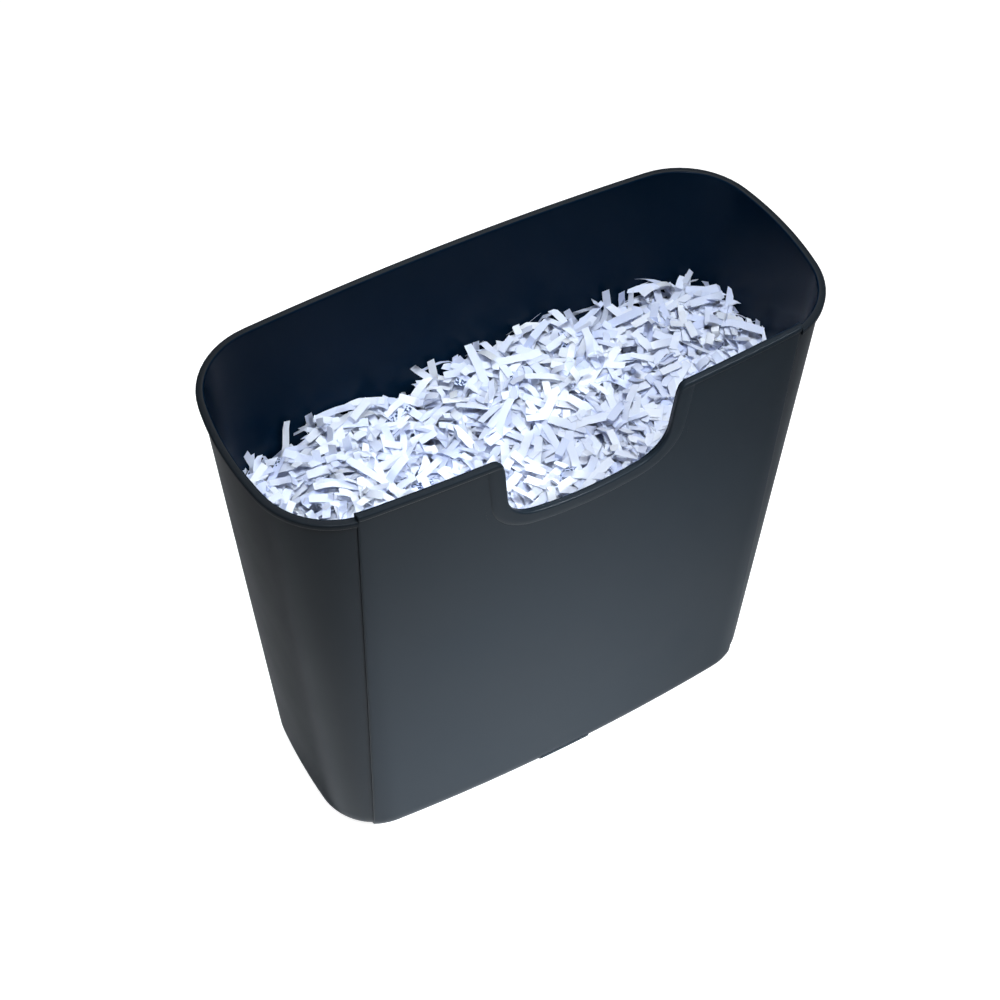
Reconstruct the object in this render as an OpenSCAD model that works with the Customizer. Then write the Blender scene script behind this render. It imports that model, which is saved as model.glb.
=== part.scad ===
// Waste bin of a paper shredder, full of shredded paper.
// Millimetres. +Z is up, the front with the scoop faces -Y, and the origin
// is on the floor under the middle of the base.

/* [Bin] */
// Length of the rim along X, over the lip
rim_length = 320; // [260:1:400]
// Depth of the rim along Y, over the lip
rim_depth = 146; // [120:1:190]
// Length of the base along X, measured at the floor before its edge is rounded
base_length = 286; // [230:1:360]
// Depth of the base along Y, measured at the floor before its edge is rounded
base_depth = 130; // [105:1:170]
// Height of the rim at the ends and the back
height = 304; // [240:1:370]
// Thickness of the moulded side walls
wall = 2.4; // [1.6:0.1:4]
// Thickness of the floor
floor_t = 3; // [2:0.1:6]
// Radius of the rounded edge between the walls and the underside
base_edge_r = 13; // [4:0.5:20]
// Depth of the recess under the floor, which leaves a foot ring
foot_recess = 1.2; // [0.6:0.1:2]
// Width of the foot ring
foot_ring_w = 12; // [6:1:20]

/* [Plan outline] */
// Radius of the four upright corners at the rim
rim_corner_r = 44; // [25:1:60]
// Radius of the four upright corners at the base
base_corner_r = 37; // [20:1:50]
// How far the long sides bow out between the middle and the corners
side_bow = 8; // [2:0.5:12]
// How far the ends bow out at the rim
rim_end_bow = 15; // [4:0.5:20]
// How far the ends bow out at the base
base_end_bow = 6; // [2:0.5:12]

/* [Rim lip] */
// How far the lip stands out from the wall
lip_out = 1.8; // [1:0.1:3]
// Height of the lip
lip_h = 3.8; // [2:0.1:8]

/* [Front panel] */
// Width of the front panel
panel_w = 245; // [200:1:260]
// Thickness of the front panel
panel_t = 1.8; // [1.4:0.1:2.4]
// How far the panel's face stands out from the walls beside it
panel_proud = 1; // [0.4:0.1:1.4]
// How much higher the panel's rim is than the rest of the rim
panel_rise = 3.4; // [3:0.1:6]
// How far the front wall stops below the panel's rim and inside the scoop
panel_overlap = 0.8; // [0.4:0.1:2]
// Height of the panel's lower edge above the floor
panel_foot_gap = 4; // [2.5:0.1:6]
// Clearance between the panel and the bin
panel_gap = 0.3; // [0.2:0.05:0.6]
// Width of the locating tab at the foot of the panel
tab_w = 33; // [16:1:60]
// Height of the locating tab
tab_h = 9; // [6:0.5:14]
// How far the locating tab stands out from the panel's face
tab_proud = 0.8; // [0.2:0.1:0.8]

/* [Scoop] */
// Width of the scoop in the front rim
scoop_w = 97; // [70:1:130]
// Depth of the scoop at its middle, below the panel's rim
scoop_depth = 51; // [35:1:70]
// How much narrower the scoop is at its lower corners, each side
scoop_draft = 4; // [0:0.5:8]
// Radius of the scoop's lower corners
scoop_corner_r = 20; // [6:0.5:24]
// How much the scoop's lower edge sags in the middle
scoop_sag = 6; // [1:0.5:8]
// Radius where the scoop runs out into the rim
scoop_mouth_r = 5; // [2:0.5:8]
// Width of the raised border round the scoop
border_w = 9; // [4:0.5:12]
// Height of the raised border above the panel's face
border_h = 0.6; // [0.3:0.1:0.8]

/* [Paper] */
// Depth of the top of the paper below the rim
paper_drop = 84; // [50:1:150]
// How much lower the paper lies along the walls
paper_slump = 14; // [2:1:30]
// Width of the sloping edge of the paper
paper_slope_w = 26; // [10:1:40]
// Clearance between the paper and the bin
paper_gap = 0.8; // [0.4:0.1:3]
// Length of one shred
shred_l = 34; // [20:1:40]
// Width of one shred
shred_w = 4.4; // [2:0.1:6]
// Thickness of one loose shred with its curl pressed flat
shred_t = 0.5; // [0.3:0.1:1]
// Gap between the layers of loose shreds
shred_gap = 0.2; // [0.1:0.1:0.5]

/* [Hidden] */
slice_t = 0.01;                 // thickness of a slice that a loft is hulled from
over = 8;                       // how far cutters run past what they cut
top_z = height + panel_rise;    // top of the panel's rim
tongue_top = top_z - panel_overlap; // top of the front wall behind the panel
inner_inset = lip_out + wall;   // from the lip's outer edge to the inner wall
panel_inset = lip_out - panel_proud;
seat_inset = panel_inset + panel_t + panel_gap; // front wall, set back behind the panel
paper_top = height - paper_drop;
half_front = rim_depth;         // reach of a cutter in front of the middle

// ---- plan outline: bowed sides, bowed ends and round corners, as tangent arcs ----

// Radius of an arc with the given half chord and rise
function bow_r(half, rise) = (half * half + rise * rise) / (2 * rise);

// Points of an arc about c, radius r, from angle a to angle b
function arc(c, r, a, b, n) =
    [for (i = [0:n]) let (t = a + (b - a) * i / n) c + r * [cos(t), sin(t)]];

// Centre of the corner circle, tangent inside both the side arc and the end arc
function corner_centre(c1, d1, c2, d2) =
    let (v = c2 - c1, d = norm(v), u = v / d,
         a = (d1 * d1 - d2 * d2 + d * d) / (2 * d),
         h = sqrt(max(d1 * d1 - a * a, 0)))
    c1 + a * u + h * [u[1], -u[0]];

function direction(v) = atan2(v[1], v[0]);

// The quarter outline from the +X end to the middle of the +Y side
function quarter(hx, hy, rc, rs, re) =
    let (side_c = [0, hy - rs], end_c = [hx - re, 0],
         cc = corner_centre(side_c, rs - rc, end_c, re - rc),
         a_end = direction(cc - end_c), a_side = direction(cc - side_c))
    concat(arc(end_c, re, 0, a_end, 5),
           [for (i = [1:8]) cc + rc * [cos(a_end + (a_side - a_end) * i / 8),
                                       sin(a_end + (a_side - a_end) * i / 8)]],
           [for (p = arc(side_c, rs, a_side, 90, 8)) if (p[0] < cc[0] + rc * cos(a_side) - 1) p]);

function reversed(p) = [for (i = [len(p) - 1:-1:0]) p[i]];

// The whole outline, mirrored from the quarter
function whole(q) =
    let (n = len(q), left = [for (p = reversed(q)) [-p[0], p[1]]],
         top = concat(q, [for (i = [1:n - 1]) left[i]]), m = len(top))
    concat(top, [for (i = [1:m - 2]) [top[m - 1 - i][0], -top[m - 1 - i][1]]]);

function mix(a, b, t) = a + (b - a) * t;

// The outline at height z, moved in by inset; every radius follows the same offset
function outline(z, inset) =
    let (t = z / height,
         hx = mix(base_length, rim_length, t) / 2,
         hy = mix(base_depth, rim_depth, t) / 2,
         rc = mix(base_corner_r, rim_corner_r, t),
         rs = bow_r(hx, side_bow),
         re = bow_r(hy, mix(base_end_bow, rim_end_bow, t)))
    whole(quarter(hx - inset, hy - inset, rc - inset, rs - inset, re - inset));

module slice(z, inset, shift = 0)
    translate([0, 0, z - shift]) linear_extrude(slice_t) polygon(outline(z, inset));

// The tapering body with its rounded lower edge, moved in by inset and cut off
// at z1. It is moved in at the underside too, unless floor_z gives its lowest height.
module body(inset, z1, floor_z = undef) {
    r = max(base_edge_r - inset + lip_out, 1);
    z0 = is_undef(floor_z) ? inset - lip_out : floor_z;
    hull() {
        for (a = [0:18:90]) slice(z0 + r * (1 - sin(a)), inset + r * (1 - cos(a)));
        slice(z1, inset, slice_t);
    }
}

// ---- the scoop, drawn in X and Z on the front ----

// Half outline of the scoop grown by g, from the middle of its lower edge
// up the right-hand side and out past the rim
module scoop_shape(g) {
    low_half = scoop_w / 2 - scoop_draft;
    bottom_z = top_z - scoop_depth;
    sag_r = bow_r(low_half, scoop_sag);
    offset(delta = g) offset(r = scoop_corner_r) offset(delta = -scoop_corner_r)
        intersection() {
            polygon([[-low_half - 2, bottom_z - over], [low_half + 2, bottom_z - over],
                     [low_half, bottom_z + scoop_sag], [scoop_w / 2, top_z],
                     [scoop_w / 2, top_z + 4 * over], [-scoop_w / 2, top_z + 4 * over],
                     [-scoop_w / 2, top_z], [-low_half, bottom_z + scoop_sag]]);
            translate([0, bottom_z + sag_r]) circle(r = sag_r, $fn = 180);
            translate([-scoop_w, bottom_z]) square([2 * scoop_w, 2 * scoop_w]);
        }
}

// The two rounded corners where the scoop meets the rim, grown by g
module scoop_mouth(g)
    for (s = [-1, 1])
        translate([s * (scoop_w / 2 + g), top_z - scoop_mouth_r])
            difference() {
                translate([s > 0 ? -1 : -scoop_mouth_r, 0])
                    square([scoop_mouth_r + 1, scoop_mouth_r + over]);
                translate([s * scoop_mouth_r, 0]) circle(r = scoop_mouth_r, $fn = 48);
            }

// Everything in front of the middle that lies behind the scoop's outline grown by g
module scoop_cut(g)
    rotate([90, 0, 0]) linear_extrude(half_front) {
        scoop_shape(g);
        scoop_mouth(g);
    }

// A block in front of the middle, as wide as the panel grown by g, from z0 to z1
module panel_zone(g, z0, z1)
    translate([-panel_w / 2 - g, -half_front, z0]) cube([panel_w + 2 * g, half_front, z1 - z0]);

// A block round the locating tab, from the floor up and back to the flat underside
module tab_zone(g)
    translate([-tab_w / 2 - g, -half_front, -g])
        cube([tab_w + 2 * g, half_front - base_depth / 2 + lip_out + base_edge_r + g, tab_h + 2 * g]);

// ---- sub-parts ----

// One-piece moulded bin: floor, tapering walls, rim lip at the ends and the back,
// and a front wall that is set back where the panel sits
module bin_shell() color("#2b3036")
    difference() {
        union() {
            difference() {
                union() {
                    body(lip_out, height);
                    translate([0, 0, height - lip_h]) linear_extrude(lip_h)
                        polygon(outline(height, 0));
                }
                panel_zone(panel_gap, panel_foot_gap - panel_gap, top_z + over);
                tab_zone(panel_gap);
            }
            body(seat_inset, height - 1);
            intersection() {
                translate([0, 0, height - 2 * over]) linear_extrude(tongue_top - height + 2 * over)
                    polygon(outline(height, seat_inset + 0.45));
                panel_zone(-0.5, 0, top_z + over);
            }
        }
        body(inner_inset, top_z + over, floor_t);
        scoop_cut(panel_overlap);
        translate([0, 0, -over]) linear_extrude(over + foot_recess)
            polygon(outline(0, lip_out + base_edge_r + foot_ring_w));
    }

// Moulded front panel: a plate with a lip along its rim, a raised border round
// the scoop, and a locating tab at its foot
module front_panel() color("#30353b")
    difference() {
        union() {
            difference() {
                union() {
                    intersection() {
                        body(panel_inset, top_z - 0.5);
                        panel_zone(0, panel_foot_gap, top_z);
                    }
                    intersection() {
                        body(panel_inset - tab_proud, height / 2);
                        tab_zone(0);
                    }
                }
                body(panel_inset + panel_t, top_z + over);
            }
            intersection() {
                difference() {
                    body(panel_inset - border_h, top_z - 0.6);
                    body(panel_inset + panel_t / 2, top_z + over);
                }
                scoop_cut(border_w);
            }
            intersection() {
                translate([0, 0, top_z - lip_h]) linear_extrude(lip_h)
                    difference() {
                        polygon(outline(height, 0));
                        polygon(outline(height, panel_inset + panel_t));
                    }
                panel_zone(0, 0, top_z + over);
            }
        }
        scoop_cut(0);
    }

// The settled mass of shredded paper, a little smaller than the space it fills
module shred_heap() color("#e9edf2")
    hull() {
        body(inner_inset + paper_gap, paper_top - paper_slump, floor_t + paper_gap);
        slice(paper_top, inner_inset + paper_gap + paper_slope_w, slice_t);
    }

// Loose shreds lying on the paper: crossed layers of separate flat strips, as many
// as fit on its flat top, each turned its own way
module loose_shreds() color("#f4f6f9") {
    edge = 2 * (inner_inset + paper_gap + paper_slope_w);
    free = [mix(base_length, rim_length, paper_top / height) - edge - shred_l,
            mix(base_depth, rim_depth, paper_top / height) - edge - shred_w];
    count = [max(floor(free[0] / (shred_l + 2)), 1), max(floor(free[1] / (shred_l / 2)), 1)];
    for (layer = [0, 1], i = [0:count[0] - layer], j = [0:count[1] - layer]) {
        at = [(i + layer / 2) / count[0] - 0.5, (j + layer / 2) / count[1] - 0.5];
        translate([at[0] * free[0], at[1] * free[1],
                   paper_top + layer * (shred_t + shred_gap)])
            rotate(24 * sin(97 * i + 151 * j) + 62 * layer * cos(83 * i - 71 * j))
                translate([-shred_l / 2, -shred_w / 2, 0]) cube([shred_l, shred_w, shred_t]);
    }
}

bin_shell();
front_panel();
shred_heap();
loose_shreds();
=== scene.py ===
"""Looks of a paper shredder's waste bin, full of shredded paper.

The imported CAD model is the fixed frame. The moulded bin, its front panel and the paper are
built again here as finer meshes on the same surfaces, and stand for their CAD solids.
Sizes are in millimetres, and become metres as each mesh is placed.
"""

import logging
import math
import random
from collections.abc import Callable, Iterable
from dataclasses import dataclass, field
from enum import Enum

import bmesh
import bpy
import numpy as np
from mathutils import Matrix, Vector, noise


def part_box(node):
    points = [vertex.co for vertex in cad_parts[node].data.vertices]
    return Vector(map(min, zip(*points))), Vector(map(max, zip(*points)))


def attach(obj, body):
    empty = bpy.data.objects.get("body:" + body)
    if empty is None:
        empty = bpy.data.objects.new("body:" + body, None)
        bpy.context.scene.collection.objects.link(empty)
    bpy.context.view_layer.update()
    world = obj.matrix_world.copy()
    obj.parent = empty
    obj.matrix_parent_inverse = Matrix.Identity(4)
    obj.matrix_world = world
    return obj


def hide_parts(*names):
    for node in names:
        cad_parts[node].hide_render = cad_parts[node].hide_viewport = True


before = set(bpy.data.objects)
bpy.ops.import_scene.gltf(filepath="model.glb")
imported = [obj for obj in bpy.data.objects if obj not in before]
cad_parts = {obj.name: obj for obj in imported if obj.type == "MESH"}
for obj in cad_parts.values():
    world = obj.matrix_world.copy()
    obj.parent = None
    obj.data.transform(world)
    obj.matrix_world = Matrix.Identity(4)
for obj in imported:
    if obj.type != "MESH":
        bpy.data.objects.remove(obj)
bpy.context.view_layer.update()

MM = 0.001
MERGE = 0.002  # vertices closer than this, in millimetres, become one
SETTLE = 12.0  # further than this below the front's edge its columns straighten out
WAVE_RADIANS = 20  # how far the wave texture turns over one unit at scale 1
log = logging.getLogger("waste_bin")
Place = tuple[float, float, float]


# ---- small tools -------------------------------------------------------------------------


def linear(hex_colour: str) -> tuple[float, float, float, float]:
    """Turns an sRGB hex colour into the linear colour that shaders use.

    Args:
        hex_colour: Six hex digits with a leading hash.

    Returns:
        Red, green, blue and alpha, from 0 to 1.
    """
    parts = [int(hex_colour[i:i + 2], 16) / 255 for i in (1, 3, 5)]
    red, green, blue = (c / 12.92 if c <= 0.04045 else ((c + 0.055) / 1.055) ** 2.4 for c in parts)
    return red, green, blue, 1.0


def mix(a: float, b: float, t: float) -> float:
    """Returns the value that lies the share t of the way from a to b."""
    return a + (b - a) * t


def spread(a: float, b: float, count: int) -> list[float]:
    """Returns count + 1 evenly spaced values from a to b."""
    return [mix(a, b, i / count) for i in range(count + 1)]


def bow_radius(half: float, rise: float) -> float:
    """Returns the radius of the arc with this half chord and rise."""
    return (half * half + rise * rise) / (2 * rise)


def new_material(name: str) -> tuple[bpy.types.Material, bpy.types.NodeTree]:
    """Makes a material whose node tree is empty, and returns both."""
    material = bpy.data.materials.new(name)
    material.use_nodes = True
    material.node_tree.nodes.clear()
    return material, material.node_tree


def add_node(tree: bpy.types.NodeTree, kind: str, inputs: dict | None = None,
             **settings: object) -> bpy.types.Node:
    """Adds one shader node with its settings and its links.

    Args:
        tree: The material's node tree.
        kind: Blender's name for the node type.
        inputs: Socket name or number to either a value or the socket that feeds it.
        **settings: Properties of the node itself.

    Returns:
        The new node.
    """
    node = tree.nodes.new(kind)
    for name, value in settings.items():
        setattr(node, name, value)
    for name, source in (inputs or {}).items():
        if isinstance(source, bpy.types.NodeSocket):
            tree.links.new(source, node.inputs[name])
        else:
            node.inputs[name].default_value = source
    return node


def noise_value(tree: bpy.types.NodeTree, place: bpy.types.NodeSocket, size_mm: float,
                detail: float) -> bpy.types.NodeSocket:
    """Returns the value of a noise whose features are about size_mm across."""
    return add_node(tree, "ShaderNodeTexNoise", {
        "Vector": place, "Scale": 1 / (size_mm * MM), "Detail": detail}).outputs["Fac"]


def mixed(tree: bpy.types.NodeTree, factor: bpy.types.NodeSocket, a: object,
          b: object) -> bpy.types.NodeSocket:
    """Returns the colour that lies the share factor of the way from a to b."""
    return add_node(tree, "ShaderNodeMix", {"Factor": factor, "A": a, "B": b},
                    data_type="RGBA").outputs["Result"]


def sheet(columns: int, rows: int, place: Callable[[int, int], Place]) -> bmesh.types.BMesh:
    """Makes a grid and lays every vertex of it on a surface.

    Args:
        columns: Number of vertices along a row.
        rows: Number of rows.
        place: Gives the place in millimetres of the vertex in a column and a row.

    Returns:
        A bmesh in metres, with coinciding vertices merged.
    """
    bm = bmesh.new()
    bmesh.ops.create_grid(bm, x_segments=columns - 1, y_segments=rows - 1, size=1.0)
    for vert in bm.verts:
        column = round((vert.co.x + 1) / 2 * (columns - 1))
        row = round((vert.co.y + 1) / 2 * (rows - 1))
        vert.co = Vector(place(column, row)) * MM
    bmesh.ops.remove_doubles(bm, verts=bm.verts, dist=MERGE * MM)
    return bm


def close(bm: bmesh.types.BMesh) -> None:
    """Fills the open ends of a sheet and turns all its faces outwards."""
    bmesh.ops.dissolve_degenerate(bm, dist=MERGE * MM, edges=bm.edges)
    bmesh.ops.holes_fill(bm, edges=[e for e in bm.edges if e.is_boundary], sides=0)
    bmesh.ops.recalc_face_normals(bm, faces=bm.faces)


def finished(name: str, bm: bmesh.types.BMesh, materials: Iterable[bpy.types.Material],
             sharp_degrees: float = 38.0) -> bpy.types.Object:
    """Turns a bmesh into a smooth-shaded object with its materials.

    Args:
        name: Name of the piece.
        bm: The shape, in metres in the bin's own frame. It is freed.
        materials: Materials in the order of their slots.
        sharp_degrees: Edges that turn by more than this stay sharp.

    Returns:
        The new object, linked to the scene.
    """
    mesh = bpy.data.meshes.new(name)
    bm.to_mesh(mesh)
    bm.free()
    for material in materials:
        mesh.materials.append(material)
    mesh.shade_smooth()
    mesh.set_sharp_from_angle(angle=math.radians(sharp_degrees))
    obj = bpy.data.objects.new(name, mesh)
    bpy.context.scene.collection.objects.link(obj)
    return obj


# ---- finishes ----------------------------------------------------------------------------


@dataclass(frozen=True)
class MouldedPolypropylene:
    """Injection-moulded polypropylene from a spark-eroded mould, coloured in the mass."""

    name: str
    colour: str = "#181d22"
    worn_colour: str = "#20262c"
    roughness: float = 0.34
    roughness_swing: float = 0.07
    specular: float = 0.12
    grain_mm: float = 0.7    # the real grain is about 0.2 mm; drawn coarser so that it shows
    cloud_mm: float = 90.0   # size of the faint flow marks of the melt
    grain_depth_mm: float = 0.012

    def build(self) -> bpy.types.Material:
        """Gives the eye a dark satin skin: a fine grain, and a gloss that drifts from place to place.

        Returns:
            The material.
        """
        material, tree = new_material(self.name)
        place = add_node(tree, "ShaderNodeTexCoord").outputs["Object"]
        cloud = noise_value(tree, place, self.cloud_mm, 3.0)
        grain = noise_value(tree, place, self.grain_mm, 2.0)
        colour = mixed(tree, cloud, linear(self.colour), linear(self.worn_colour))
        gloss = add_node(tree, "ShaderNodeMapRange", {
            "Value": cloud, "From Min": 0.1, "From Max": 0.9,
            "To Min": self.roughness - self.roughness_swing,
            "To Max": self.roughness + self.roughness_swing}, interpolation_type="SMOOTHSTEP")
        bump = add_node(tree, "ShaderNodeBump", {
            "Height": grain, "Strength": 0.5, "Distance": self.grain_depth_mm * MM})
        shader = add_node(tree, "ShaderNodeBsdfPrincipled", {
            "Base Color": colour, "Roughness": gloss.outputs["Result"],
            "Specular IOR Level": self.specular, "Normal": bump.outputs["Normal"]})
        add_node(tree, "ShaderNodeOutputMaterial", {"Surface": shader.outputs["BSDF"]})
        return material


@dataclass(frozen=True)
class OfficePaper:
    """Uncoated 80 g office paper, cut into narrow shreds, a few with traces of grey print."""

    name: str
    colour: str = "#fafcff"
    shade_colour: str = "#d6dffd"
    print_colour: str = "#4a5a78"
    roughness: float = 0.82
    fibre_mm: float = 1.6      # clumps of fibre; the fibres themselves are far finer
    tint_mm: float = 160.0     # slow, so that a shred has nearly one tint
    line_mm: float = 3.4       # one radian of the printed lines, which are 2 pi of it apart
    dash_mm: float = 1.3
    ink_above: float = 0.5     # the dashes are where their noise is above this
    line_above: float = 0.72   # the printed lines are where their wave is above this
    printed_above: float = 0.69  # only shreds where the slow noise is above this bear print

    def build(self) -> bpy.types.Material:
        """Gives the eye bright matt white strips that differ a little, with a few broken grey dashes.

        Returns:
            The material. It reads each shred's own UV map, in metres along and across the shred.
        """
        material, tree = new_material(self.name)
        along = add_node(tree, "ShaderNodeUVMap", uv_map="shred").outputs["UV"]
        tint = noise_value(tree, along, self.tint_mm, 1.0)
        fibre = noise_value(tree, along, self.fibre_mm, 3.0)
        dash = noise_value(tree, along, self.dash_mm, 0.0)
        lines = add_node(tree, "ShaderNodeTexWave", {
            "Vector": along, "Scale": 1 / (self.line_mm * MM) / WAVE_RADIANS, "Distortion": 0.0},
            bands_direction="Y").outputs["Fac"]
        swing = add_node(tree, "ShaderNodeMapRange", {
            "Value": tint, "From Min": 0.3, "From Max": 0.72}).outputs["Result"]
        paper = mixed(tree, swing, linear(self.colour), linear(self.shade_colour))
        levels = ((dash, self.ink_above), (lines, self.line_above), (tint, self.printed_above))
        ink, row, page = (add_node(tree, "ShaderNodeMath", {0: source, 1: level},
                                   operation="GREATER_THAN").outputs["Value"]
                          for source, level in levels)
        marks = add_node(tree, "ShaderNodeMath", {0: ink, 1: row}, operation="MULTIPLY")
        printed = add_node(tree, "ShaderNodeMath", {0: marks.outputs["Value"], 1: page},
                           operation="MULTIPLY")
        colour = mixed(tree, printed.outputs["Value"], paper, linear(self.print_colour))
        bump = add_node(tree, "ShaderNodeBump",
                        {"Height": fibre, "Strength": 0.35, "Distance": 0.08 * MM})
        shader = add_node(tree, "ShaderNodeBsdfPrincipled", {
            "Base Color": colour, "Roughness": self.roughness,
            "Specular IOR Level": 0.25, "Normal": bump.outputs["Normal"]})
        add_node(tree, "ShaderNodeOutputMaterial", {"Surface": shader.outputs["BSDF"]})
        return material


@dataclass(frozen=True)
class LightTable:
    """Opal acrylic table top, lit from under, on which the bin stands."""

    name: str = "studio_table_opal_acrylic"
    colour: str = "#b8b8b8"
    glow: float = 0.93

    def build(self) -> bpy.types.Material:
        """Gives the eye a clean white ground with only the faintest contact shadow.

        Returns:
            The material. Its glow is seen but doesn't show in reflections.
        """
        material, tree = new_material(self.name)
        seen = add_node(tree, "ShaderNodeLightPath").outputs["Is Camera Ray"]
        glow = add_node(tree, "ShaderNodeMath", {0: seen, 1: self.glow}, operation="MULTIPLY")
        lamp = add_node(tree, "ShaderNodeEmission", {"Strength": glow.outputs["Value"]})
        top = add_node(tree, "ShaderNodeBsdfDiffuse", {"Color": linear(self.colour)})
        both = add_node(tree, "ShaderNodeAddShader", {0: top.outputs["BSDF"], 1: lamp.outputs["Emission"]})
        add_node(tree, "ShaderNodeOutputMaterial", {"Surface": both.outputs["Shader"]})
        return material


# ---- the form that every piece follows ----------------------------------------------------


@dataclass(frozen=True)
class Outline:
    """The bin's plan outline at one height, or at many heights held as arrays.

    It is made of tangent arcs, and these are the arcs of the quarter where X and Y are positive.
    """

    side_r: float
    end_r: float
    corner_r: float
    side_y: float
    end_x: float
    corner_x: float
    corner_y: float
    end_angle: float
    side_angle: float

    def y_at(self, x: float) -> float:
        """Returns the half depth of the outline at x."""
        if abs(x) > self.corner_x + self.corner_r * math.cos(self.side_angle):
            run = abs(x) - self.corner_x
            return self.corner_y + math.sqrt(max(self.corner_r ** 2 - run * run, 0.0))
        return self.side_y + math.sqrt(self.side_r ** 2 - x * x)

    def on_corner(self, angle: float) -> tuple[float, float]:
        """Returns the point of the corner arc at an angle."""
        return (self.corner_x + self.corner_r * math.cos(angle),
                self.corner_y + self.corner_r * math.sin(angle))

    def on_end(self, angle: float) -> tuple[float, float]:
        """Returns the point of the end arc at an angle."""
        return self.end_x + self.end_r * math.cos(angle), self.end_r * math.sin(angle)

    def inward(self, x: np.ndarray, y: np.ndarray) -> tuple[np.ndarray, np.ndarray, np.ndarray]:
        """Finds how far points lie inside the outline, and which way is out.

        Args:
            x: X of the points.
            y: Y of the points.

        Returns:
            The depth inside, and the X and Y of the outward direction.
        """
        ax, ay = np.abs(x), np.abs(y)
        arcs = [(ax, ay - self.side_y, self.side_r), (ax - self.end_x, ay, self.end_r),
                (ax - self.corner_x, ay - self.corner_y, self.corner_r)]
        reach = [np.maximum(np.hypot(dx, dy), 1e-6) for dx, dy, _ in arcs]
        depth = [arc[2] - far for arc, far in zip(arcs, reach)]
        angle = np.arctan2(arcs[2][1], arcs[2][0])
        corner = (angle >= self.end_angle) & (angle <= self.side_angle)
        side = ~corner & (depth[0] <= depth[1])
        pick = [side, ~corner & ~side, corner]
        out_depth = np.select(pick, depth)
        out_x = np.select(pick, [arc[0] / far for arc, far in zip(arcs, reach)]) * np.sign(x)
        out_y = np.select(pick, [arc[1] / far for arc, far in zip(arcs, reach)]) * np.sign(y)
        return out_depth, out_x, out_y


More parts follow.
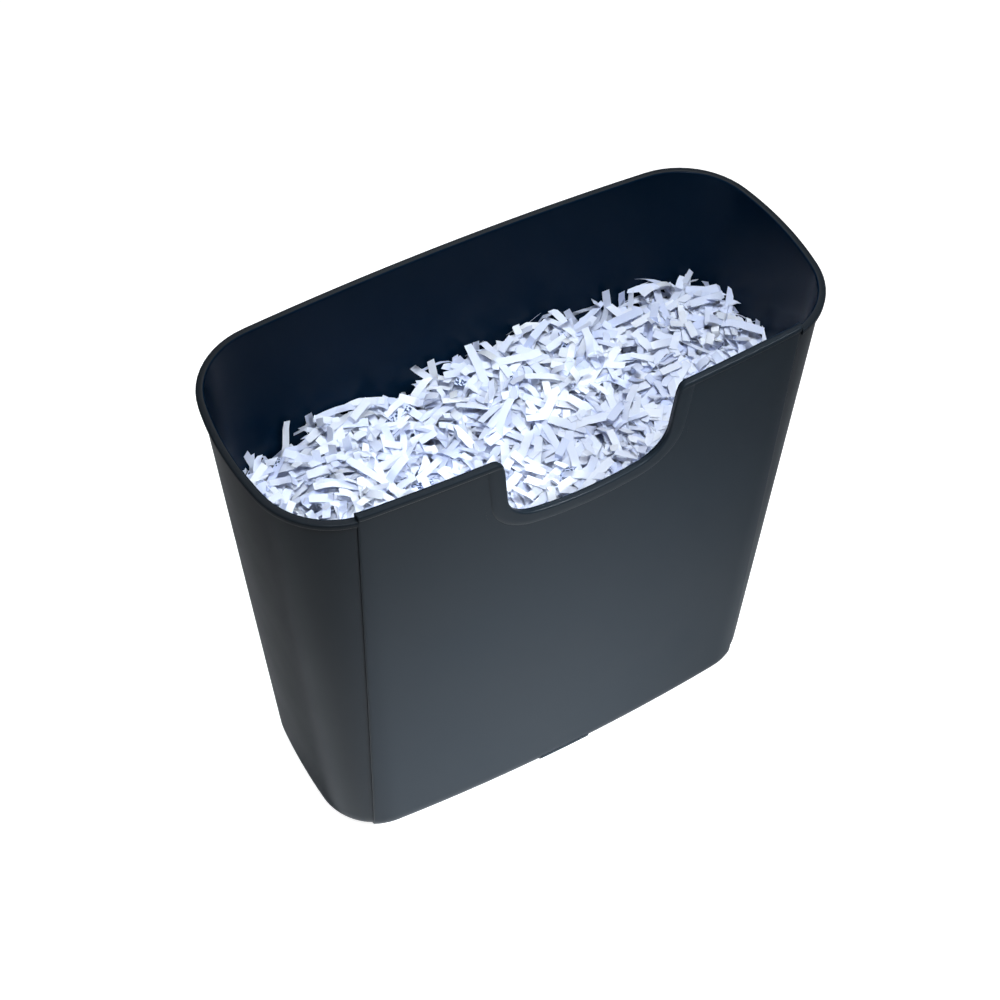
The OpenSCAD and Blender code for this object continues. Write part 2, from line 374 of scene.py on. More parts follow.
@dataclass(frozen=True)
class BinForm:
    """Sizes of the tapering bin. The overall ones are read from the frame."""

    rim_length: float
    rim_depth: float
    panel_w: float
    height: float
    top_z: float
    base_length: float = 286.0
    base_depth: float = 130.0
    wall: float = 2.4
    floor_t: float = 3.0
    base_edge_r: float = 13.0
    foot_recess: float = 1.2
    foot_ring_w: float = 12.0
    rim_corner_r: float = 44.0
    base_corner_r: float = 37.0
    side_bow: float = 8.0
    rim_end_bow: float = 15.0
    base_end_bow: float = 6.0
    lip_out: float = 1.8
    lip_h: float = 3.8

    @classmethod
    def from_frame(cls, panel_rise: float = 3.4) -> "BinForm":
        """Reads the overall sizes from the boxes of the bin and the panel.

        Args:
            panel_rise: How much higher the panel's rim is than the bin's.

        Returns:
            The form.
        """
        shell_low, shell_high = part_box("bin_shell")
        panel_low, panel_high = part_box("front_panel")
        top_z = panel_high.z / MM
        return cls(rim_length=(shell_high.x - shell_low.x) / MM, rim_depth=2 * shell_high.y / MM,
                   panel_w=(panel_high.x - panel_low.x) / MM, height=top_z - panel_rise, top_z=top_z)

    @property
    def inner_inset(self) -> float:
        """Distance from the lip's outer edge to the inner wall."""
        return self.lip_out + self.wall

    def outline(self, z: float, inset: float) -> Outline:
        """Works out the outline at height z, moved in by inset. Arrays give arrays.

        Args:
            z: Height above the floor, in millimetres.
            inset: Distance in from the outline of the lip.

        Returns:
            The outline.
        """
        t = np.minimum(z, self.height) / self.height
        half_x = mix(self.base_length, self.rim_length, t) / 2
        half_y = mix(self.base_depth, self.rim_depth, t) / 2
        corner_r = mix(self.base_corner_r, self.rim_corner_r, t) - inset
        side_r = bow_radius(half_x, self.side_bow) - inset
        end_r = bow_radius(half_y, mix(self.base_end_bow, self.rim_end_bow, t)) - inset
        side_y = half_y - inset - side_r
        end_x = half_x - inset - end_r
        span = np.hypot(end_x, side_y)
        ux, uy = end_x / span, -side_y / span
        near, far = side_r - corner_r, end_r - corner_r
        a = (near ** 2 - far ** 2 + span ** 2) / (2 * span)
        h = np.sqrt(np.maximum(near ** 2 - a ** 2, 0))
        corner_x, corner_y = a * ux + h * uy, side_y + a * uy - h * ux
        return Outline(side_r, end_r, corner_r, side_y, end_x, corner_x, corner_y,
                       np.arctan2(corner_y, corner_x - end_x),
                       np.arctan2(corner_y - side_y, corner_x))

    def skin(self, z: float, inset: float, floor_z: float | None = None) -> float:
        """Adds the rounded edge between a wall and the floor to the wall's inset.

        Args:
            z: Height above the floor. An array gives an array.
            inset: Inset of the wall above the rounded edge.
            floor_z: Lowest height of this skin, if it isn't moved in like the wall.

        Returns:
            The inset at that height.
        """
        radius = max(self.base_edge_r - inset + self.lip_out, 1.0)
        low = inset - self.lip_out if floor_z is None else floor_z
        sine = np.clip(1 - (z - low) / radius, 0, 1)
        return inset + radius * (1 - np.sqrt(1 - sine * sine))

    def front(self, x: float, z: float, inset: float) -> Place:
        """Returns the point of the front wall at x and z, at this inset."""
        return x, -self.outline(z, inset).y_at(x), z

    def round_from_seam(self, z: float, inset: float, right_x: float,
                        left_x: float) -> list[tuple[float, float]]:
        """Gives the outline from the right of the panel round the back to its left.

        Args:
            z: Height of the ring.
            inset: Inset of the ring.
            right_x: How far the front, which is left out, reaches to the right.
            left_x: How far it reaches to the left.

        Returns:
            Points in X and Y, always the same number.
        """
        right, left = (self._half_round(z, inset, x) for x in (right_x, left_x))
        return right + [(-x, y) for x, y in left[-2::-1]]

    def _half_round(self, z: float, inset: float, seam_x: float) -> list[tuple[float, float]]:
        """Returns the outline from the seam at seam_x round the +X end to the middle of the back."""
        at = self.outline(z, inset)
        seam = math.acos(max(-1.0, min(1.0, (seam_x - at.corner_x) / at.corner_r)))
        front = [at.on_corner(a) for a in spread(seam, at.end_angle, 12)]
        end = [at.on_end(a) for a in spread(at.end_angle, 0, 7)][1:]
        corner = [at.on_corner(a) for a in spread(at.end_angle, at.side_angle, 12)]
        tangent_x = at.corner_x + at.corner_r * math.cos(at.side_angle)
        back = [(x, at.y_at(x)) for x in spread(tangent_x, 0, 14)][1:]
        half = [(x, -y) for x, y in front + end]
        return half + [(x, y) for x, y in end[-2::-1]] + corner + back


@dataclass(frozen=True)
class Station:
    """A point of the front's top edge, in X and Z, with the direction into the wall."""

    x: float
    z: float
    into_x: float
    into_z: float
    rim: bool = False


@dataclass(frozen=True)
class ScoopEdge:
    """Top edge of the front: the rim, the two rounded mouths and the scoop between them."""

    form: BinForm
    right_x: float
    left_x: float
    grown: float = 0.0
    width: float = 97.0
    depth: float = 51.0
    draft: float = 4.0
    corner_r: float = 20.0
    sag: float = 6.0
    mouth_r: float = 5.0
    extra_x: tuple[float, ...] = ()  # further columns, for a step in the surface

    def stations(self) -> list[Station]:
        """Works out the stations from the left end of the front to its right end.

        Returns:
            The stations.
        """
        top = self.form.top_z
        low_half = self.width / 2 - self.draft
        bottom = top - self.depth
        sag_r = bow_radius(low_half, self.sag)
        centre_z = bottom + sag_r
        side = Vector((self.draft, self.depth - self.sag)).normalized()
        inner = Vector((-side.y, side.x))
        start = Vector((low_half, bottom + self.sag)) + inner * self.corner_r
        reach = start - Vector((0, centre_z))
        along = -reach.dot(side) - math.sqrt(
            reach.dot(side) ** 2 - reach.length_squared + (sag_r - self.corner_r) ** 2)
        corner = start + side * along
        tangent = math.atan2(corner.y - centre_z, corner.x)
        side_angle = math.atan2(-inner.y, -inner.x)
        half = [self._arc(0, centre_z, sag_r, a) for a in spread(-math.pi / 2, tangent, 14)]
        half += [self._arc(corner.x, corner.y, self.corner_r, a)
                 for a in spread(tangent, side_angle, 12)[1:]]
        foot = corner - inner * self.corner_r
        mouth_z = top - self.mouth_r
        head = foot + side * ((mouth_z - foot.y) / side.y)
        half += [Station(mix(foot.x, head.x, t), mix(foot.y, head.y, t), -inner.x, -inner.y)
                 for t in spread(0, 1, 12)[1:-1]]
        mouth_x = self.width / 2 + self.mouth_r
        half += [Station(mouth_x + self.mouth_r * math.cos(a), mouth_z + self.mouth_r * math.sin(a),
                         -math.cos(a), -math.sin(a)) for a in spread(math.pi, math.pi / 2, 8)]
        left, right = (half + self._rim(mouth_x, end_x) for end_x in (self.left_x, self.right_x))
        return [Station(-s.x, s.z, -s.into_x, s.into_z, s.rim) for s in left[:0:-1]] + right

    def _rim(self, mouth_x: float, end_x: float) -> list[Station]:
        """Returns the stations of the rim from a mouth to one end of the front."""
        places = {x for x in (*spread(mouth_x, end_x, 24), *self.extra_x) if mouth_x < x <= end_x}
        return [Station(x, self.form.top_z, 0.0, -1.0, True) for x in sorted(places)]

    def _arc(self, x: float, z: float, radius: float, angle: float) -> Station:
        """Returns a station of an arc that the wall lies outside of."""
        c, s = math.cos(angle), math.sin(angle)
        return Station(x + radius * c, z + radius * s, c, s)

    def below(self, station: Station, distance: float) -> tuple[float, float]:
        """Moves a station into the wall by a distance; at the mouths the lines meet in a mitre.

        Args:
            station: The station.
            distance: How far from the edge, in millimetres.

        Returns:
            X and Z.
        """
        g = distance + self.grown
        sign = math.copysign(1.0, station.x)
        x, z = station.x + g * station.into_x, station.z + g * station.into_z
        mitre_x, mitre_z = self.width / 2 + g, self.form.top_z - g
        in_mouth = station.z > self.form.top_z - self.mouth_r - MERGE and not station.rim
        if station.rim or (in_mouth and g >= self.mouth_r):
            return sign * max(abs(x) if station.rim else 0.0, mitre_x), mitre_z
        return x, min(z, mitre_z)


# ---- pieces -------------------------------------------------------------------------------


@dataclass(frozen=True)
class Level:
    """One level of a front sheet: so far below the edge, then a share of the way to the foot."""

    below: float
    share: float
    inset: float


@dataclass
class BinShell:
    """One-piece moulded bin: underside, walls, rim lip, inner wall and floor."""

    form: BinForm
    outer: bpy.types.Material
    # material of the inside faces; its darker blue colour is painted shade and painted reflection
    inner: bpy.types.Material
    seat_inset: float = 2.9
    overlap: float = 0.8
    left_gap: float = 0.15
    right_gap: float = 0.9
    panel_foot: float = 3.7
    lip_edge_r: float = 1.0
    inner_edge_r: float = 0.7
    corner_reach: float = 0.75  # share of the corner that the front may take on a small ring

    def build(self) -> bpy.types.Object:
        """Builds the bin as one closed sheet of rings, from the underside to the inner floor.

        Returns:
            The bin, riding on its body.
        """
        form = self.form
        right_x, left_x = form.panel_w / 2 + self.right_gap, form.panel_w / 2 + self.left_gap
        edge = ScoopEdge(form, right_x, left_x, grown=self.overlap)
        stations = edge.stations()
        foot_x = self._foot_places(stations)
        rings = self._rings()
        count = len(stations) + len(form.round_from_seam(0, form.lip_out, right_x, left_x))
        grid: list[list[Place]] = []
        for z, inset, level, foot_z in rings:
            at = form.outline(z, inset)
            squeeze = min(1.0, (at.corner_x + at.corner_r * self.corner_reach) / right_x)
            across = [self._front_point(edge, s, x, level, foot_z, z, inset, squeeze)
                      for s, x in zip(stations, foot_x)]
            ends = form.round_from_seam(z, inset, right_x * squeeze, left_x * squeeze)
            wrap = [(x, y, z) for x, y in ends]
            grid.append(across + wrap + across[:1])
        bm = sheet(count + 1, len(rings), lambda column, row: grid[row][column])
        close(bm)
        shell = finished("bin_shell_moulding", bm, [self.outer, self.inner])
        self._paint_inside_shade(shell)
        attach(shell, "bin")
        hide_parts("bin_shell")
        return shell

    def _foot_places(self, stations: list[Station]) -> list[float]:
        """Returns the X of each column at the foot: even under the scoop, straight down elsewhere."""
        scoop = [i for i, s in enumerate(stations) if not s.rim]
        reach = abs(stations[scoop[0]].x)
        even = spread(-reach, reach, len(scoop) - 1)
        places = [s.x for s in stations]
        for i, x in zip(scoop, even):
            places[i] = x
        return places

    def _rings(self) -> list[tuple[float, float, Level | None, float]]:
        """Lists the rings from the underside up the outside, over the rim and down the inside.

        Returns:
            For each ring its height and inset round the ends and the back, its level on the
            front, or None where the front has no seat, and the height of the front's foot.
        """
        form = self.form
        lip, seat, inner = form.lip_out, self.seat_inset, form.inner_inset
        edge_r, inner_r = self.lip_edge_r, self.inner_edge_r
        ring_in = lip + form.base_edge_r + form.foot_ring_w
        # the underside and the foot ring
        rings = [(form.foot_recess, ring_in + 1.0, None, 0.0), (form.foot_recess, ring_in, None, 0.0),
                 (0.3, ring_in - 0.3, None, 0.0), (0.0, ring_in - 0.8, None, 0.0)]
        rings += [(z, form.skin(z, lip), None, 0.0) for z in (0.0, 0.15, 0.5, 1.2, 2.2, 3.2)]
        rings.append((self.panel_foot, form.skin(self.panel_foot, lip), None, 0.0))
        # the outer wall, with its rows close together at the foot
        low_lip = form.height - form.lip_h
        shares = [1.0, 0.99, 0.98, 0.97, 0.955] + spread(0.93, 0.0, 20)
        for share in shares:
            z = mix(low_lip - 1.2, self.panel_foot, share)
            rings.append((z, form.skin(z, lip), Level(SETTLE, share, seat), self.panel_foot))
        # under the lip and up its side: rise, inset, and distance below the front's edge
        for rise, inset, below in ((-0.4, lip, 9.0), (-0.05, lip - 0.1, 7.0), (0.05, lip - 0.5, 6.0),
                                   (0.1, 0.55, 5.0), (0.25, 0.25, 4.0), (0.55, 0.05, 3.2),
                                   (0.95, 0.0, 2.5), (1.7, 0.0, 1.8)):
            rings.append((low_lip + rise, inset, Level(below, 0.0, seat), self.panel_foot))
        for a in spread(0, math.pi / 2, 5):
            rings.append((form.height - edge_r * (1 - math.sin(a)), edge_r * (1 - math.cos(a)),
                          Level(0.4 * (1 - math.sin(a)), 0.0, seat + 0.3 * (1 - math.cos(a))),
                          self.panel_foot))
        rings.append((form.height, mix(edge_r, inner, 0.5), Level(0.0, 0.0, mix(seat, inner, 0.5)),
                      self.panel_foot))
        for a in spread(0, math.pi / 2, 4):
            rings.append((form.height - inner_r * (1 - math.cos(a)), inner - inner_r * (1 - math.sin(a)),
                          Level(0.3 * (1 - math.cos(a)), 0.0, inner - 0.3 * (1 - math.sin(a))),
                          self.panel_foot))
        # down the inner wall to the floor
        fillet_top = form.floor_t + form.base_edge_r - inner + lip
        for below in (1.5, 3.0, 6.0, 9.0):
            rings.append((form.height - below, inner, Level(below, 0.0, inner), fillet_top))
        for share in spread(0.0, 1.0, 20):
            z = mix(form.height - SETTLE, fillet_top, share)
            rings.append((z, inner, Level(SETTLE, share, inner), fillet_top))
        fillet_r = fillet_top - form.floor_t
        for a in spread(0, math.pi / 2, 7)[1:]:
            z = form.floor_t + fillet_r * (1 - math.sin(a))
            rings.append((z, form.skin(z, inner, form.floor_t), None, 0.0))
        rings.append((form.floor_t, inner + fillet_r + 2.0, None, 0.0))
        return rings

    def _front_point(self, edge: ScoopEdge, station: Station, foot_x: float, level: Level | None,
                     foot_z: float, z: float, inset: float, squeeze: float) -> Place:
        """Places one column of the front on one ring.

        Args:
            edge: The front's top edge.
            station: The column's station on it.
            foot_x: The column's X at the foot.
            level: The ring's level on the front, or None where it runs level with the ring.
            foot_z: Height of the foot that the level counts down to.
            z: Height of the ring.
            inset: Inset of the ring.
            squeeze: How much narrower the front is on a small ring.

        Returns:
            The place.
        """
        if level is None:
            return self.form.front(foot_x * squeeze, z, inset)
        x, top = edge.below(station, level.below)
        x, z = mix(x, foot_x, level.share), mix(top, foot_z, level.share)
        return self.form.front(x, z, self.form.skin(z, level.inset))

    def _paint_inside_shade(self, shell: bpy.types.Object) -> None:
        """Gives the inside of the bin its own material: a smoother finish, and a darker blue colour that
        is painted shade and painted reflection of blue light.
        """
        form = self.form
        for face in shell.data.polygons:
            centre = face.center / MM
            depth, _, _ = form.outline(centre.z, 0.0).inward(np.array([centre.x]), np.array([centre.y]))
            if depth[0] > form.inner_inset - self.inner_edge_r and centre.z > form.floor_t - 0.5:
                face.material_index = 1


@dataclass
class FrontPanel:
    """Moulded panel on the front: rim lip, raised scoop border, plain face and foot tab."""

    form: BinForm
    plastic: bpy.types.Material
    thickness: float = 1.8
    proud: float = 1.0
    foot: float = 4.0
    foot_corner_r: float = 3.0
    edge_r: float = 1.0
    side_edge_r: float = 0.8
    border_w: float = 9.0
    border_h: float = 0.6
    lip_run: float = 1.6        # width of the rounded lower edge of the lip
    border_run: float = 3.4     # width of the rounded lower edge of the border
    foot_share: float = 0.0022  # height of the rounded foot, as a share of the panel's
    foot_round: float = 0.6     # how far the foot's edge is rounded back
    back_rows: float = 0.5      # rows this close to the back follow it and not the face
    tab_half_w: float = 16.5
    tab_h: float = 9.0
    tab_t: float = 2.0
    tab_edge_r: float = 0.7

    def __post_init__(self) -> None:
        """Works out where the face and the back of the panel lie."""
        self.face = self.form.lip_out - self.proud
        self.back = self.face + self.thickness
        half = self.form.panel_w / 2
        border_x = ScoopEdge.width / 2 + self.border_w
        run = self.border_run
        self.edge = ScoopEdge(self.form, half, half, extra_x=(
            border_x - run, border_x - 0.5 * run, border_x - 0.15 * run, border_x, border_x + 0.3,
            *(half - self.side_edge_r * k for k in (0.1, 0.35, 0.65, 1.0, 2.0))))
        self.stations = self.edge.stations()
        self.side = self._side_points()

    def _side_points(self) -> list[Vector]:
        """Returns points of the scoop's outline, with its sides run on past the rim, in X and Z."""
        plain = [s for s in self.stations if not s.rim and s.z < self.form.top_z - ScoopEdge.mouth_r]
        first, second = plain[0], plain[1]
        slope = (first.x - second.x) / (first.z - second.z)
        ends = [Vector((first.x + slope * rise, first.z + rise)) for rise in (30.0, 20.0, 12.0, 6.0, 3.0)]
        middle = [Vector((s.x, s.z)) for s in plain]
        return ends + middle + [Vector((-p.x, p.y)) for p in reversed(ends)]

    def _from_scoop(self, x: float, z: float) -> float:
        """Returns the distance from the scoop's outline."""
        here = Vector((x, z))
        nearest = 1e9
        for a, b in zip(self.side, self.side[1:]):
            run = b - a
            t = max(0.0, min(1.0, (here - a).dot(run) / run.length_squared))
            nearest = min(nearest, (here - a - run * t).length)
        return nearest

    def _step(self, distance: float, width: float, run: float) -> float:
        """Returns the height, from 1 to 0, of a raised band whose far edge is rounded over a run."""
        over = (distance - width + run) / run
        return 1.0 if over <= 0 else math.sqrt(max(1 - over * over, 0.0))

    def _face_inset(self, x: float, z: float) -> float:
        """Returns the inset of the panel's face at x and z, with the lip and the border raised."""
        lip = self.face * self._step(self.form.top_z - z, self.form.lip_h, self.lip_run)
        border = 0.0
        if z > self.form.top_z - ScoopEdge.depth - 2 * self.border_w and abs(x) < ScoopEdge.width:
            border = self.border_h * self._step(self._from_scoop(x, z), self.border_w, self.border_run)
        return self.face - max(lip, border)

    def _levels(self) -> list[Level]:
        """Lists the rows from the back's foot over the top and down the face; inset is from the face.

        Returns:
            The levels. Those of the back have an inset above 1.
        """
        lip, border, thick = self.form.lip_h, self.border_w, self.thickness
        levels = [Level(SETTLE, share, thick) for share in (1.0, 0.6, 0.3, 0.0)]
        levels += [Level(below, 0.0, thick) for below in (6.0, 2.0, 0.4)]
        levels += [Level(0.1, 0.0, thick - 0.1), Level(0.0, 0.0, thick - 0.4)]
        for a in spread(0, math.pi / 2, 5):
            levels.append(Level(self.edge_r * (1 - math.cos(a)), 0.0, self.edge_r * (1 - math.sin(a))))
        steps = (1.0, 0.75, 0.5, 0.3, 0.15, 0.05, 0.0)
        for below in (1.4, *(lip - self.lip_run * k for k in steps), lip + 0.3, 4.8,
                      *(border - self.border_run * k for k in steps), border + 0.3, 10.5):
            levels.append(Level(below, 0.0, 0.0))
        levels += [Level(SETTLE, share, 0.0) for share in spread(0.0, 0.93, 26)]
        levels += [Level(SETTLE, share, 0.0) for share in (0.945, 0.958, 0.968, 0.977, 0.985, 0.992)]
        for a in spread(0, math.pi / 2, 4):
            share = 1.0 - self.foot_share * (1 - math.sin(a))
            levels.append(Level(SETTLE, share, self.foot_round * (1 - math.cos(a))))
        return levels + levels[:1]

    def build(self) -> bpy.types.Object:
        """Builds the panel with its tab.

        Returns:
            The panel, riding on the bin.
        """
        form, half = self.form, self.form.panel_w / 2
        scoop = [i for i, s in enumerate(self.stations) if not s.rim]
        first, last = self.stations[scoop[0]], self.stations[scoop[-1]]
        even = dict(zip(scoop, spread(first.x, last.x, len(scoop) - 1)))
        levels = self._levels()

        def place(column: int, row: int) -> Place:
            """Places the vertex of a column and a row."""
            station, level = self.stations[column], levels[row]
            foot_x = even.get(column, station.x)
            over = max(abs(foot_x) - half + self.foot_corner_r, 0.0)
            foot_z = self.foot + self.foot_corner_r - math.sqrt(self.foot_corner_r ** 2 - over * over)
            x, top = self.edge.below(station, level.below)
            x, z = mix(x, foot_x, level.share), mix(top, foot_z, level.share)
            side_run = max(abs(x) - half + self.side_edge_r, 0.0)
            rounding = self.side_edge_r - math.sqrt(max(self.side_edge_r ** 2 - side_run ** 2, 0.0))
            on_back = level.inset >= self.thickness - self.back_rows
            base = self.face if on_back else self._face_inset(x, z) + rounding
            inset = min(base + level.inset, self.back)
            return form.front(x, z, form.skin(z, inset))

        bm = sheet(len(self.stations), len(levels), place)
        close(bm)
        self._add_tab(bm)
        panel = finished("front_panel_moulding", bm, [self.plastic])
        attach(panel, "bin")
        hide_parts("front_panel")
        return panel

    def _add_tab(self, bm: bmesh.types.BMesh) -> None:
        """Adds the locating tab, a small plate that wraps under the panel's foot.

        Args:
            bm: The panel's bmesh, to which the tab is added.
        """
        radius, half, thick = self.tab_edge_r, self.tab_half_w, self.tab_t
        columns = sorted({*spread(-half + radius, half - radius, 16),
                          *(s * (half - radius * k) for s in (-1, 1) for k in (0.0, 0.1, 0.35, 0.65))})
        rows = [(0.0, thick), (self.tab_h - radius, thick), (self.tab_h, 2 * radius), (self.tab_h, radius)]
        rows += [(self.tab_h - radius * (1 - math.cos(a)), radius * (1 - math.sin(a)))
                 for a in spread(0, math.pi / 2, 4)]
        rows += [(z, 0.0) for z in (7.0, 5.5, 4.0, 2.8, 1.8, 1.0, 0.4, 0.0)]
        rows.append(rows[0])

        def place(column: int, row: int) -> Place:
            """Places the vertex of a column and a row of the tab."""
            x, (z, inset) = columns[column], rows[row]
            over = max(abs(x) - half + radius, 0.0)
            rounding = radius - math.sqrt(max(radius ** 2 - over ** 2, 0.0))
            return self.form.front(x, z, self.form.skin(z, min(inset + rounding, thick)))

        tab = sheet(len(columns), len(rows), place)
        close(tab)
        part = bpy.data.meshes.new("tab")
        tab.to_mesh(part)
        tab.free()
        bm.from_mesh(part)
        bpy.data.meshes.remove(part)


class Curl(Enum):
    """How a shred has curled: bends and twist over its length, in radians, and its share."""

    FLAT = (0.3, 0.3, 0.1, 9)
    BOWED = (1.1, 0.5, 0.3, 9)
    WAVY = (0.3, 1.8, 0.5, 6)
    TWISTED = (0.7, 1.0, 1.6, 5)
    HOOKED = (2.4, 1.6, 0.6, 4)
    CREASED = (0.4, 0.6, 0.4, 5)

    @property
    def share(self) -> int:
        """How many of the patterns curl in this way."""
        return self.value[3]


@dataclass
class ShredCutter:
    """Cuts the patterns that all shreds are copies of, each curled in its own way."""

    length: float = 62.0
    width: float = 4.4
    thickness: float = 0.24
    segments: int = 9
    crease: float = 1.3        # how sharply a creased shred is folded, in radians
    ragged: float = 0.86       # least width of a torn end, as a share
    rng: random.Random = field(default_factory=lambda: random.Random(7))

    def patterns(self) -> list[bpy.types.Mesh]:
        """Makes the patterns, several for each way of curling.

        Returns:
            One mesh for each pattern, in millimetres, centred on the origin.
        """
        return [self._pattern(curl) for curl in Curl for _ in range(curl.share)]

    def _pattern(self, curl: Curl) -> bpy.types.Mesh:
        """Makes one shred: a flat strip that is bent and twisted and then given its thickness.

        Args:
            curl: The way in which it curls.

        Returns:
            The mesh, with a UV map in metres along and across the strip.
        """
        bend, wave, twist, _ = curl.value
        rng, n = self.rng, self.segments
        length = self.length * rng.triangular(0.4, 1.1, 0.75)
        width = self.width * rng.uniform(0.9, 1.08)
        phase, sign = rng.uniform(0, 2 * math.pi), rng.choice((-1, 1))
        crease = rng.randrange(2, n - 1)
        turn, at = Matrix.Identity(3), Vector((0, 0, 0))
        line: list[tuple[Vector, Vector]] = []
        for k in range(n + 1):
            line.append((at.copy(), turn @ Vector((0, width / 2, 0))))
            t = k / n
            pitch = sign * bend / n + wave / n * 2 * math.sin(2 * math.pi * t + phase)
            pitch += (self.crease * sign if curl is Curl.CREASED and k == crease else 0.0)
            turn = turn @ Matrix.Rotation(pitch, 3, "Y") @ Matrix.Rotation(twist / n * sign, 3, "X")
            at = at + turn @ Vector((length / n, 0, 0))
        middle = sum((p for p, _ in line), Vector((0, 0, 0))) / (n + 1)
        bm = bmesh.new()
        bmesh.ops.create_grid(bm, x_segments=n, y_segments=1, size=1.0)
        uv = bm.loops.layers.uv.new("shred")
        for face in bm.faces:
            for loop in face.loops:
                co = loop.vert.co
                loop[uv].uv = ((co.x + 1) / 2 * length * MM, co.y * width / 2 * MM)
        for vert in bm.verts:
            point, across = line[round((vert.co.x + 1) / 2 * n)]
            ragged = rng.uniform(self.ragged, 1.0) if abs(vert.co.x) > 0.99 else 1.0
            vert.co = point - middle + across * vert.co.y * ragged
        bmesh.ops.solidify(bm, geom=bm.faces, thickness=self.thickness)
        bmesh.ops.recalc_face_normals(bm, faces=bm.faces)
        mesh = bpy.data.meshes.new("shred_pattern")
        bm.to_mesh(mesh)
        bm.free()
        return mesh


class Lie(Enum):
    """How a shred lies: spread of its pitch and roll, in radians, and the curl left in it."""

    LEANING = (0.2, 0.38, 0.75)
    UPRIGHT = (1.0, 0.38, 0.75)
    CROWN = (0.1, 0.3, 0.45)
    WALL = (0.1, 0.15, 0.3)
    FLOOR = (0.05, 0.1, 0.2)


@dataclass
class PaperLoad:
    """The load of shredded paper: a dense core and thousands of shreds round it."""

    form: BinForm
    paper: bpy.types.Material
    # painted shade: darker paper that shows through the gaps between the shreds
    core_paper_painted_shade: bpy.types.Material
    level: float = 217.0        # mean height of the surface
    clear: float = 0.7          # gap to the inner wall
    core_in: float = 10.0       # how far the core's top lies under the surface
    core_gap: float = 3.4       # how far the core's sides lie behind the outermost shreds
    core_floor_gap: float = 3.2
    lump_size: float = 9.0
    lump_rise: float = 1.6
    shoulder_drop: float = 30.0  # how far below the surface the core starts to close
    top_count: int = 2100
    crown_share: float = 0.14   # share of the top shreds that lie flat over all the others
    crown_rise: float = 3.5
    upright_share: float = 0.035
    upright_rise: float = 3.0
    wall_low: float = 8.0       # lowest place of a shred on a wall
    wall_layer: float = 2.2     # depth of the layer of shreds along the walls and on the floor
    wall_lean: float = -0.06    # the walls lean out by this much
    wall_count: int = 2500
    floor_count: int = 340
    uv_spread: float = 1.0      # metres over which the shreds are spread in the UV map
    rng: random.Random = field(default_factory=lambda: random.Random(20))

    def surface(self, x: float, y: float) -> float:
        """Returns the height of the paper's surface at x and y: mounds, hollows and fine bumps."""
        mounds = ((-128, 16, -2), (-112, 14, -13), (-82, 20, 6), (-34, 18, -10), (38, 30, 7),
                  (92, 14, -5), (138, 20, 8))
        height = self.level + sum(rise * math.exp(-((x - at) / wide) ** 2) for at, wide, rise in mounds)
        bumps = sum(noise.noise(Vector((x / size, y / size, layer))) * rise
                    for size, layer, rise in ((26, 3.1, 7), (11, 8.4, 3)))
        return height + bumps

    def build(self) -> list[bpy.types.Object]:
        """Builds the core and the shreds.

        Returns:
            The pieces, riding on the paper load's body.
        """
        patterns = ShredCutter().patterns()
        self._coordinates = [self._read(p) for p in patterns]
        core = self._core()
        top = self._pile("top_shreds", patterns, self.top_count, self._on_top)
        walls = self._pile("wall_shreds", patterns, self.wall_count, self._on_wall)
        floor = self._pile("floor_shreds", patterns, self.floor_count, self._on_floor)
        for pattern in patterns:
            bpy.data.meshes.remove(pattern)
        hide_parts("shred_heap")
        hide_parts("loose_shreds")
        pieces = [core, top, walls, floor]
        for piece in pieces:
            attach(piece, "paper_load")
        return pieces

    @staticmethod
    def _read(mesh: bpy.types.Mesh) -> tuple[np.ndarray, np.ndarray]:
        """Returns a mesh's vertex places and UV coordinates as arrays."""
        co = np.empty(len(mesh.vertices) * 3, np.float32)
        mesh.vertices.foreach_get("co", co)
        uv = np.empty(len(mesh.loops) * 2, np.float32)
        mesh.uv_layers["shred"].data.foreach_get("uv", uv)
        return co.reshape(-1, 3).astype(float), uv.reshape(-1, 2)

    def _core(self) -> bpy.types.Object:
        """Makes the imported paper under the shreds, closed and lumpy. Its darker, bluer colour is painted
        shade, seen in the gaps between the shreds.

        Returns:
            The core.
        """
        form, inset = self.form, self.form.inner_inset + self.clear + self.core_gap
        floor, shoulder = form.floor_t + self.core_floor_gap, self.level - self.shoulder_drop
        levels, steps, shoulder_rows = 26, 15, 3
        rings: list[list[Place]] = []
        for z in spread(floor, shoulder, levels):
            rings.append(self._ring(z, form.skin(z, inset, floor)))
        for step in range(1, steps):
            scale = 1 - step / steps
            rings.append([(x * scale, y * scale, 0.0) for x, y, _ in rings[levels]])
        columns = len(rings[0])

        def place(column: int, row: int) -> Place:
            """Places the vertex of a column and a row, with the top at the paper's surface."""
            x, y, z = rings[row][column % columns]
            if row > levels:
                z = mix(shoulder, self.surface(x, y) - self.core_in,
                        min(1.0, (row - levels) / shoulder_rows))
            lump = noise.noise(Vector((x, y, z)) / self.lump_size) * self.lump_rise
            return x * (1 - abs(lump) / 90), y * (1 - abs(lump) / 60), z + lump * (row > 0)

        bm = sheet(columns + 1, len(rings), place)
        close(bm)
        bm.loops.layers.uv.new("shred")
        uv = bm.loops.layers.uv["shred"]
        for face in bm.faces:
            for loop in face.loops:
                loop[uv].uv = (loop.vert.co.x, loop.vert.co.y + loop.vert.co.z)
        return finished("packed_paper_core_painted_shade", bm, [self.core_paper_painted_shade], 80.0)

    def _ring(self, z: float, inset: float, count: int = 84) -> list[Place]:
        """Gives the whole outline at one height, found by moving points of an ellipse onto it.

        Args:
            z: Height of the ring.
            inset: Inset of the ring.
            count: How many points.

        Returns:
            The places round the ring.
        """
        form, at = self.form, self.form.outline(z, inset)
        angle = np.linspace(0, math.tau, count, endpoint=False)
        x, y = np.cos(angle) * form.rim_length, np.sin(angle) * form.rim_depth
        for _ in range(6):
            depth, out_x, out_y = at.inward(x, y)
            x, y = x + out_x * depth, y + out_y * depth
        return [(float(px), float(py), z) for px, py in zip(x, y)]

